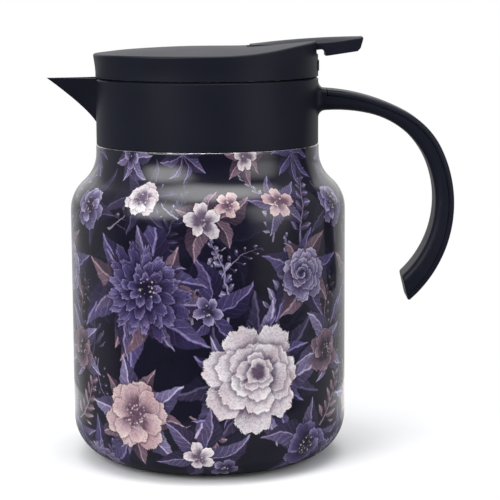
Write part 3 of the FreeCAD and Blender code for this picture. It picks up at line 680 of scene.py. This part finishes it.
@dataclass(frozen=True)
class PrintedLacquer(Finish):
    """A print of painted flowers on deep navy, on steel, under a glossy clear lacquer.

    The eye sees soft brush edges and streaked petals below a hard, even gloss. At the top
    of the neck the print stops, and a thin line of bare spun steel shows.
    """

    tile: float
    top: float
    ground: tuple[str, str] = ("#0b0a17", "#151328")
    steel: str = "#d9d8d6"
    stains: tuple[str, str] = ("#a39fb4", "#e6cdd0")
    brush: float = 6.2
    brush_reach: float = 3.2
    stipple: float = 1.33
    edge: float = 0.15

    def draw(self, sketch: Sketch) -> dict[str, Value]:
        """Draw the ground, every motif in order and the bare edge."""
        sheet = add_node(sketch.tree, "ShaderNodeUVMap", {}, uv_map=PRINT_MAP).outputs[0]
        split = add_node(sketch.tree, "ShaderNodeSeparateXYZ", {0: sheet}).outputs
        sketch.set(
            {"u": split[0], "v": split[1], "fine": 1 / self.brush, "reach": self.brush_reach,
             "dark": linear(self.ground[0]), "pale": linear(self.ground[1]), "stipple": 1 / self.stipple,
             "top": self.top, "soft": self.edge},
            cloud="cloud(place(u, v, 0), fine, 3)", drift="cloud(place(v, u, 40), fine, 3)",
            x="u + (cloud - 0.5) * reach", y="v + (drift - 0.5) * reach",
            dots="cells(place(u, v, 0), stipple)", worn="cloud(place(u, v * 3, 9), 0.5, 3)",
            bare="1 - ease(-soft, soft, v) * ease(soft, -soft, v - top + worn - 0.5)",
            wash="mix(cloud, dark, pale)",
        )
        painted = sketch.known["wash"]
        groups: dict[Drawn, bpy.types.NodeTree] = {}
        for stroke in DESIGN:
            if stroke.kind not in groups:
                groups[stroke.kind] = stroke.kind.value(self.tile).tree
            painted = self.paint(sketch, stroke, groups[stroke.kind], painted)
        sketch.set(
            {"u": split[0], "v": split[1], "painted": painted, "steel": linear(self.steel),
             "shadow": linear(self.stains[0]), "blush": linear(self.stains[1])},
            fleck="ease(0.42, 0.68, cloud(place(u, v, 3), 1.1, 4))", blot="ease(0.48, 0.6, cloud(place(u, v, 21), 0.1, 2))",
            dry="stain(fleck * 0.42, painted, shadow)", tinted="stain(blot * 0.35, dry, blush)",
            colour="mix(bare, tinted, steel)", sheen="0.4 - 0.16 * bare + 0.12 * (worn - 0.5)",
        )
        return {"Base Color": sketch.known["colour"], "Metallic": sketch.known["bare"],
                "Roughness": sketch.known["sheen"], "Coat Weight": 1.0, "Coat Roughness": 0.09, "Coat IOR": 1.5,
                "IOR": 1.45, "Specular IOR Level": 0.15}

    @staticmethod
    def paint(sketch: Sketch, stroke: Stroke, group: bpy.types.NodeTree, under: Value) -> Value:
        """Lay one motif over the colour painted so far.

        Args:
            sketch: The material's sketch.
            stroke: The motif's place, size and tints.
            group: The node group that draws its kind.
            under: The colour painted so far.

        Returns:
            The colour with the motif on it.
        """
        links: dict[Union[int, str], Value] = {key: sketch.known[key.lower()] for key in Motif.SHEET}
        placing = (stroke.x, stroke.y, math.radians(stroke.turn), stroke.size, stroke.bend, stroke.count, stroke.width)
        links.update(zip(Motif.PLACING, placing))
        links.update(zip(Motif.TINTS, map(linear, stroke.tint.value)))
        links["Under"] = under
        return add_node(sketch.tree, "ShaderNodeGroup", links, node_tree=group).outputs[0]


NAVY_ABS = MouldedPlastic("satin_moulded_navy_ABS", "#12141f", "#181a26", 0.42, shine=0.18)
BASE_ABS = MouldedPlastic("grained_moulded_black_ABS", "#121214", "#19191c", 0.55, grain=0.8, relief=0.03 * MM)
LID_PP = MouldedPlastic("plain_moulded_black_PP", "#17181b", "#1d1e22", 0.36, grain=0.6, ior=1.49)
BUSH_POM = MouldedPlastic("smooth_moulded_white_POM", "#d9d7cf", "#e3e1da", 0.3, grain=0.6, ior=1.48)
SEAL_SILICONE = PressedRubber("pressed_grey_silicone", "#b3b6b9", "#c2c5c8", 0.45, glow=0.25)
FOOT_RUBBER = PressedRubber("pressed_black_rubber", "#19191a", "#262627", 0.72)
SPUN_STEEL = SpunSteel("spun_stainless_steel")
WIRE_STEEL = DrawnWire("drawn_stainless_wire")
SOLDER = CastSolder("cast_grey_solder")


class Outline:
    """Straight and round stretches of a turned profile, each tangent to the one before."""

    STEP = math.radians(5)
    RUN = 6.0

    def __init__(self, x: float, z: float, heading: float, inset: float) -> None:
        """Start at a point of the drawn profile, moved to its left by the inset."""
        self.heading = math.radians(heading)
        self.inset = inset
        self.points = [(x - inset * math.sin(self.heading), z + inset * math.cos(self.heading))]

    def ahead(self, length: float) -> "Outline":
        """Go straight on in short runs.

        Args:
            length: How far, in millimetres.

        Returns:
            The outline itself.
        """
        x, z = self.points[-1]
        runs = max(1, math.ceil(length / self.RUN))
        for index in range(1, runs + 1):
            reach = length * index / runs
            self.points.append((x + reach * math.cos(self.heading), z + reach * math.sin(self.heading)))
        return self

    def to_x(self, x: float) -> "Outline":
        """Go straight on until the radius is x."""
        return self.ahead((x - self.points[-1][0]) / math.cos(self.heading))

    def to_z(self, z: float) -> "Outline":
        """Go straight on until the height is z."""
        return self.ahead((z - self.points[-1][1]) / math.sin(self.heading))

    def bend(self, radius: float, turn: float) -> "Outline":
        """Go round an arc, to the left where turn is positive.

        Args:
            radius: The arc's radius on the drawn profile, in millimetres.
            turn: How far it turns, in radians.

        Returns:
            The outline itself.
        """
        side = math.copysign(1.0, turn)
        reach = side * radius - self.inset
        x, z = self.points[-1]
        middle = (x - reach * math.sin(self.heading), z + reach * math.cos(self.heading))
        steps = max(2, math.ceil(abs(turn) / self.STEP))
        for index in range(1, steps + 1):
            angle = self.heading + turn * index / steps
            self.points.append((middle[0] + reach * math.sin(angle), middle[1] - reach * math.cos(angle)))
        self.heading += turn
        return self


def dress(nodes: tuple[str, ...], finish: Finish) -> Iterator[str]:
    """Give CAD nodes a finish on their own material slots.

    Args:
        nodes: Names of the nodes.
        finish: Their finish.

    Returns:
        The names of the dressed nodes, one after the other.
    """
    for name in nodes:
        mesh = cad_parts[name].data
        mesh.materials.clear()
        mesh.materials.append(finish.material())
        yield name


@dataclass
class PrintedBody:
    """The vacuum-insulated steel body: printed shell, liner, bottom and what seals them."""

    body_radius: float = 60.2
    neck_radius: float = 48.7
    ledge_height: float = 138.8
    ledge_round: float = 1.2
    neck_straight: float = 3.7
    shoulder_radius: float = 16.5
    base_corner: float = 18.0
    wall: float = 0.6
    lip_radius: float = 39.7
    lip_round: float = 1.2
    lip_height: float = 5.0
    foot_gap: float = 0.8
    sleeve_radius: float = 45.0
    sleeve_round: float = 1.0
    mouth_height: float = 153.0
    bead_foot: float = 145.5
    bead_round: float = 1.6
    bead_turn: float = math.radians(45)
    sides: int = 240
    repeats: int = 3
    bare_rim: float = 0.45

    def outline(self, inset: float) -> list[tuple[float, float]]:
        """Draw the shell's profile from its bottom lip up to its mouth.

        Args:
            inset: How far the profile is moved towards the vacuum.

        Returns:
            Radius and height of each point, in millimetres.
        """
        turn = math.acos(1 - (self.body_radius - self.neck_radius) / 2 / self.shoulder_radius)
        shoulder_top = self.ledge_height - self.neck_straight
        shoulder_foot = shoulder_top - 2 * self.shoulder_radius * math.sin(turn)
        quarter = math.pi / 2
        path = Outline(self.lip_radius, self.lip_height, -90, inset)
        path.to_z(self.foot_gap + self.lip_round).bend(self.lip_round, quarter)
        path.to_x(self.body_radius - self.base_corner).bend(self.base_corner, quarter)
        path.to_z(shoulder_foot).bend(self.shoulder_radius, turn).bend(self.shoulder_radius, -turn)
        path.to_z(self.ledge_height - self.ledge_round).bend(self.ledge_round, quarter)
        path.to_x(self.sleeve_radius + self.sleeve_round).bend(self.sleeve_round, -quarter)
        path.to_z(self.bead_foot).bend(self.bead_round, -self.bead_turn)
        path.bend(self.bead_round, 2 * self.bead_turn).bend(self.bead_round, -self.bead_turn)
        return path.to_z(self.mouth_height).points

    def print_height(self, points: list[tuple[float, float]]) -> list[float]:
        """Measure along the profile from where the bottom corner starts.

        Args:
            points: The outer profile.

        Returns:
            The length at each point, in millimetres.
        """
        lengths = [0.0]
        for first, second in zip(points, points[1:]):
            lengths.append(lengths[-1] + math.dist(first, second))
        corner = self.body_radius - self.base_corner
        start = min(range(len(points)), key=lambda index: abs(points[index][0] - corner) + points[index][1])
        return [length - lengths[start] for length in lengths]

    def build(self) -> bpy.types.Object:
        """Lathe the shell as a closed wall with its print and bake coordinates.

        Returns:
            The shell, riding on the pot.
        """
        outer = self.outline(0.0)
        loop = outer + self.outline(self.wall)[::-1]
        heights = self.print_height(outer)
        heights += [-100.0 - index for index in range(len(loop) - len(outer))]
        lengths = [0.0]
        for first, second in zip(loop, loop[1:] + loop[:1]):
            lengths.append(lengths[-1] + math.dist(first, second))
        shares = [length / lengths[-1] for length in lengths]
        rows = len(loop)
        turns = [2 * math.pi * side / self.sides for side in range(self.sides)]
        verts = [(-radius * math.sin(turn) * MM, radius * math.cos(turn) * MM, height * MM)
                 for turn in turns for radius, height in loop]
        faces = [(side * rows + row, (side + 1) % self.sides * rows + row,
                  (side + 1) % self.sides * rows + (row + 1) % rows, side * rows + (row + 1) % rows)
                 for side in range(self.sides) for row in range(rows)]
        mesh = bpy.data.meshes.new("printed_shell")
        mesh.from_pydata(verts, [], faces)
        drawn = mesh.uv_layers.new(name=PRINT_MAP)
        baked = mesh.uv_layers.new(name=BAKE_MAP)
        girth = 2 * math.pi * self.body_radius
        corners = ((0, 0), (1, 0), (1, 1), (0, 1))
        for face in mesh.polygons:
            side, row = divmod(face.index, rows)
            for loop_index, (over, up) in zip(face.loop_indices, corners):
                share = (side + over) / self.sides
                drawn.data[loop_index].uv = (share * girth, heights[(row + up) % rows])
                baked.data[loop_index].uv = (share, shares[row + up])
        mesh.shade_smooth()
        mesh.set_sharp_from_angle(angle=math.radians(40))
        shell = bpy.data.objects.new("printed_shell", mesh)
        bpy.context.scene.collection.objects.link(shell)
        print_end = self.ledge_height - self.bare_rim
        end = min(range(len(outer)), key=lambda index: abs(outer[index][1] - print_end))
        finish = PrintedLacquer("printed_lacquered_steel", girth / self.repeats, heights[end])
        mesh.materials.append(finish.material())
        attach(shell, "pot")
        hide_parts("outer_shell")
        return shell

    def dress(self) -> Iterator[str]:
        """Dress the pieces inside and under the shell, one after the other."""
        yield from dress(("inner_liner", "liner_base", "shell_bottom"), SPUN_STEEL)
        yield from dress(("seal_bead", "getter"), SOLDER)
        yield from dress(("base_cover",), BASE_ABS)
        yield from dress(("foot_ring",), FOOT_RUBBER)


@dataclass
class Collar:
    """The moulded collar with spout and handle, and what holds it on the neck."""

    def dress(self) -> Iterator[str]:
        """Dress the collar's pieces, one after the other."""
        yield from dress(("collar", "handle_cover"), NAVY_ABS)
        yield from dress(("snap_ring",), LID_PP)
        yield from dress(("neck_seal",), SEAL_SILICONE)


@dataclass
class Lid:
    """The screw lid with its stopper, lever and pour valve."""

    spring_turns: int = 6
    wire_radius: float = 0.6
    coil_steps: int = 36
    wire_sides: int = 12
    valve_travel: float = 4.4

    def build_spring(self) -> bpy.types.Object:
        """Wind the valve's spring at the CAD spring's height; the real spring shortens as the valve lifts, this one
        does not.

        Returns:
            The spring, riding on the lid.
        """
        low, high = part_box("valve_spring")
        wire = self.wire_radius * MM
        radius = high.x - wire
        height = high.z - low.z - 2 * wire
        slope = math.atan2(height, 2 * math.pi * radius * self.spring_turns)
        steps = self.spring_turns * self.coil_steps
        verts = []
        for step in range(steps + 1):
            turn = 2 * math.pi * step / self.coil_steps
            outward = Vector((math.cos(turn), math.sin(turn), 0.0))
            upward = Vector((math.sin(turn) * math.sin(slope), -math.cos(turn) * math.sin(slope), math.cos(slope)))
            middle = outward * radius + Vector((0.0, 0.0, low.z + wire + height * step / steps))
            for side in range(self.wire_sides):
                angle = 2 * math.pi * side / self.wire_sides
                verts.append(middle + (outward * math.cos(angle) + upward * math.sin(angle)) * wire)
        sides = self.wire_sides
        faces = [(step * sides + side, step * sides + (side + 1) % sides,
                  (step + 1) * sides + (side + 1) % sides, (step + 1) * sides + side)
                 for step in range(steps) for side in range(sides)]
        faces += [tuple(range(sides))[::-1], tuple(range(steps * sides, (steps + 1) * sides))]
        mesh = bpy.data.meshes.new("coil_spring")
        mesh.from_pydata(verts, [], [face[::-1] for face in faces])
        mesh.shade_smooth()
        mesh.set_sharp_from_angle(angle=math.radians(40))
        mesh.materials.append(WIRE_STEEL.material())
        spring = bpy.data.objects.new("coil_spring", mesh)
        bpy.context.scene.collection.objects.link(spring)
        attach(spring, "lid")
        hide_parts("valve_spring")
        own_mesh(spring)
        return spring

    def dress(self) -> Iterator[str]:
        """Dress the lid's pieces, one after the other."""
        yield from dress(("lid_cover", "thumb_lever"), NAVY_ABS)
        yield from dress(("lid_deck", "stopper", "valve_stem", "stem_head"), LID_PP)
        yield from dress(("stem_bush",), BUSH_POM)
        yield from dress(("stopper_gasket", "deck_seal", "valve_seal"), SEAL_SILICONE)
        yield from dress(("lid_screws", "lever_pin"), WIRE_STEEL)


@dataclass(frozen=True)
class Softbox:
    """A square area lamp: where it stands, how wide it is and how strong."""

    name: str
    place: tuple[float, float, float]
    width: float
    height: float
    watts: float


@dataclass
class Studio:
    """A pale floor, a white surround, soft lamps and the camera."""

    camera_place: tuple[float, float, float] = (0.01837, -0.78408, 0.20728)
    camera_tilt: float = math.radians(81.56)
    camera_roll: float = math.radians(-0.29)
    lens: float = 129.0
    sensor: float = 36.0
    floor_radius: float = 0.17
    floor_sides: int = 96
    aim: tuple[float, float, float] = (0.0, 0.0, 0.09)
    lamp_fade: float = 0.4
    lamps: tuple[Softbox, ...] = field(default=(
        Softbox("key_softbox", (-0.85, -0.9, 0.8), 1.6, 1.6, 15.0),
        Softbox("fill_softbox", (1.0, -0.7, 0.5), 1.3, 1.6, 5.0),
        Softbox("top_softbox", (0.05, -0.1, 1.15), 1.8, 1.2, 12.0),
    ))

    def build_floor(self) -> bpy.types.Object:
        """Make a wide round floor whose far part is white to the eye.

        Returns:
            The floor.
        """
        turns = [2 * math.pi * side / self.floor_sides for side in range(self.floor_sides)]
        mesh = bpy.data.meshes.new("floor")
        mesh.from_pydata([(self.floor_radius * math.cos(turn), self.floor_radius * math.sin(turn), 0.0)
                          for turn in turns], [], [tuple(range(self.floor_sides))])
        floor = bpy.data.objects.new("floor", mesh)
        bpy.context.scene.collection.objects.link(floor)
        made = bpy.data.materials.new("pale_paper_floor")
        made.use_nodes = True
        tree = made.node_tree
        tree.nodes.clear()
        where = add_node(tree, "ShaderNodeTexCoord", {}).outputs["Object"]
        split = add_node(tree, "ShaderNodeSeparateXYZ", {0: where}).outputs
        rays = add_node(tree, "ShaderNodeLightPath", {}).outputs
        sketch = Sketch(tree, where=where, x=split[0], y=split[1], seen=rays["Is Camera Ray"],
                        mirrored=rays["Is Glossy Ray"], through=rays["Is Transmission Ray"],
                        dark=linear("#efefef"), pale=linear("#f4f4f4"), dim=linear("#26272b"))
        # In mirror images the paper in front is painted dim grey: a painted dark reflection on the jug's lower body,
        # where the lit white paper would otherwise show.
        sketch.set(away="ease(0.07, 0.165, root(x * x + y * y))", behind="ease(0, 0.12, y)",
                   shiny="least(mirrored + through, 1)", white="least(seen + shiny * behind, 1) * away",
                   colour="mix(shiny * (1 - behind) * 0.85, mix(cloud(where, 40, 2), dark, pale), dim)")
        paper = add_node(tree, "ShaderNodeBsdfDiffuse", {"Color": sketch.known["colour"]})
        glow = add_node(tree, "ShaderNodeEmission", {"Color": (1.0, 1.0, 1.0, 1.0), "Strength": 1.0})
        both = add_node(tree, "ShaderNodeMixShader", {0: sketch.known["white"], 1: paper.outputs[0], 2: glow.outputs[0]})
        add_node(tree, "ShaderNodeOutputMaterial", {"Surface": both.outputs[0]})
        mesh.materials.append(made)
        return floor

    def build_surround(self) -> None:
        """Light the scene evenly, with a white backdrop to the eye and in mirror images."""
        world = bpy.data.worlds.new("studio")
        bpy.context.scene.world = world
        world.use_nodes = True
        tree = world.node_tree
        tree.nodes.clear()
        where = add_node(tree, "ShaderNodeTexCoord", {}).outputs["Generated"]
        split = add_node(tree, "ShaderNodeSeparateXYZ", {0: where}).outputs
        rays = add_node(tree, "ShaderNodeLightPath", {}).outputs
        sketch = Sketch(tree, x=split[0], y=split[1], z=split[2], seen=rays["Is Camera Ray"],
                        mirrored=rays["Is Glossy Ray"], through=rays["Is Transmission Ray"],
                        even=linear("#b4b6ba"), dim=linear("#26272b"), white=(1.0, 1.0, 1.0, 1.0))
        sketch.set(round="bearing(size(x), 0 - y)", side="ease(1.2, 1.7, round)", rear="ease(2.2, 2.6, round)",
                   back="side * 0.24 + rear * (0.24 + 0.4 * ease(0, 0.1, z))",
                   mirror="mix(back, dim, white)", shiny="least(mirrored + through, 1)",
                   light="mix(shiny, even, mirror)", colour="mix(seen, light, white)")
        glow = add_node(tree, "ShaderNodeBackground", {"Color": sketch.known["colour"], "Strength": 1.0})
        add_node(tree, "ShaderNodeOutputWorld", {"Surface": glow.outputs[0]})

    def build_lamps(self) -> None:
        """Set up the soft lamps, all aimed at the jug's middle."""
        for box in self.lamps:
            lamp = bpy.data.lights.new(box.name, "AREA")
            lamp.shape = "RECTANGLE"
            lamp.size, lamp.size_y = box.width, box.height
            lamp.energy = box.watts
            lamp.use_nodes = True
            lamp.node_tree.nodes.clear()
            panel = add_node(lamp.node_tree, "ShaderNodeNewGeometry", {}).outputs["Parametric"]
            split = add_node(lamp.node_tree, "ShaderNodeSeparateXYZ", {0: panel}).outputs
            sketch = Sketch(lamp.node_tree, u=split[0], v=split[1], fade=self.lamp_fade)
            sketch.set(across="ease(0, fade, least(u, 1 - u))", up="ease(0, fade, least(v, 1 - v))",
                       shine="across * up / (1 - fade) ** 2")
            glow = add_node(lamp.node_tree, "ShaderNodeEmission", {"Strength": sketch.known["shine"]})
            add_node(lamp.node_tree, "ShaderNodeOutputLight", {"Surface": glow.outputs[0]})
            stand = bpy.data.objects.new(box.name, lamp)
            stand.location = box.place
            stand.rotation_mode = "QUATERNION"
            stand.rotation_quaternion = (Vector(self.aim) - Vector(box.place)).to_track_quat("-Z", "Y")
            bpy.context.scene.collection.objects.link(stand)

    def build_camera(self) -> None:
        """Place the camera where the photograph was taken from."""
        camera = bpy.data.cameras.new("camera")
        camera.lens, camera.sensor_width = self.lens, self.sensor
        camera.clip_start, camera.clip_end = 0.01, 20.0
        stand = bpy.data.objects.new("camera", camera)
        stand.location = self.camera_place
        turn = Matrix.Rotation(self.camera_tilt, 3, "X") @ Matrix.Rotation(self.camera_roll, 3, "Z")
        stand.rotation_euler = turn.to_euler()
        bpy.context.scene.collection.objects.link(stand)
        bpy.context.scene.camera = stand
        bpy.context.scene.view_settings.view_transform = "Standard"


def main() -> None:
    """Build the jug's sub-assemblies and the studio in order, and report each piece."""
    logging.basicConfig(level=logging.INFO, format="%(name)s: %(message)s")
    body, lid = PrintedBody(), Lid()
    log.info("built %s", body.build().name)
    log.info("built %s", lid.build_spring().name)
    for assembly in (body, Collar(), lid):
        for piece in assembly.dress():
            log.info("dressed %s", piece)
    studio = Studio()
    log.info("built %s", studio.build_floor().name)
    studio.build_surround()
    studio.build_lamps()
    studio.build_camera()


if __name__ == "__main__":
    main()
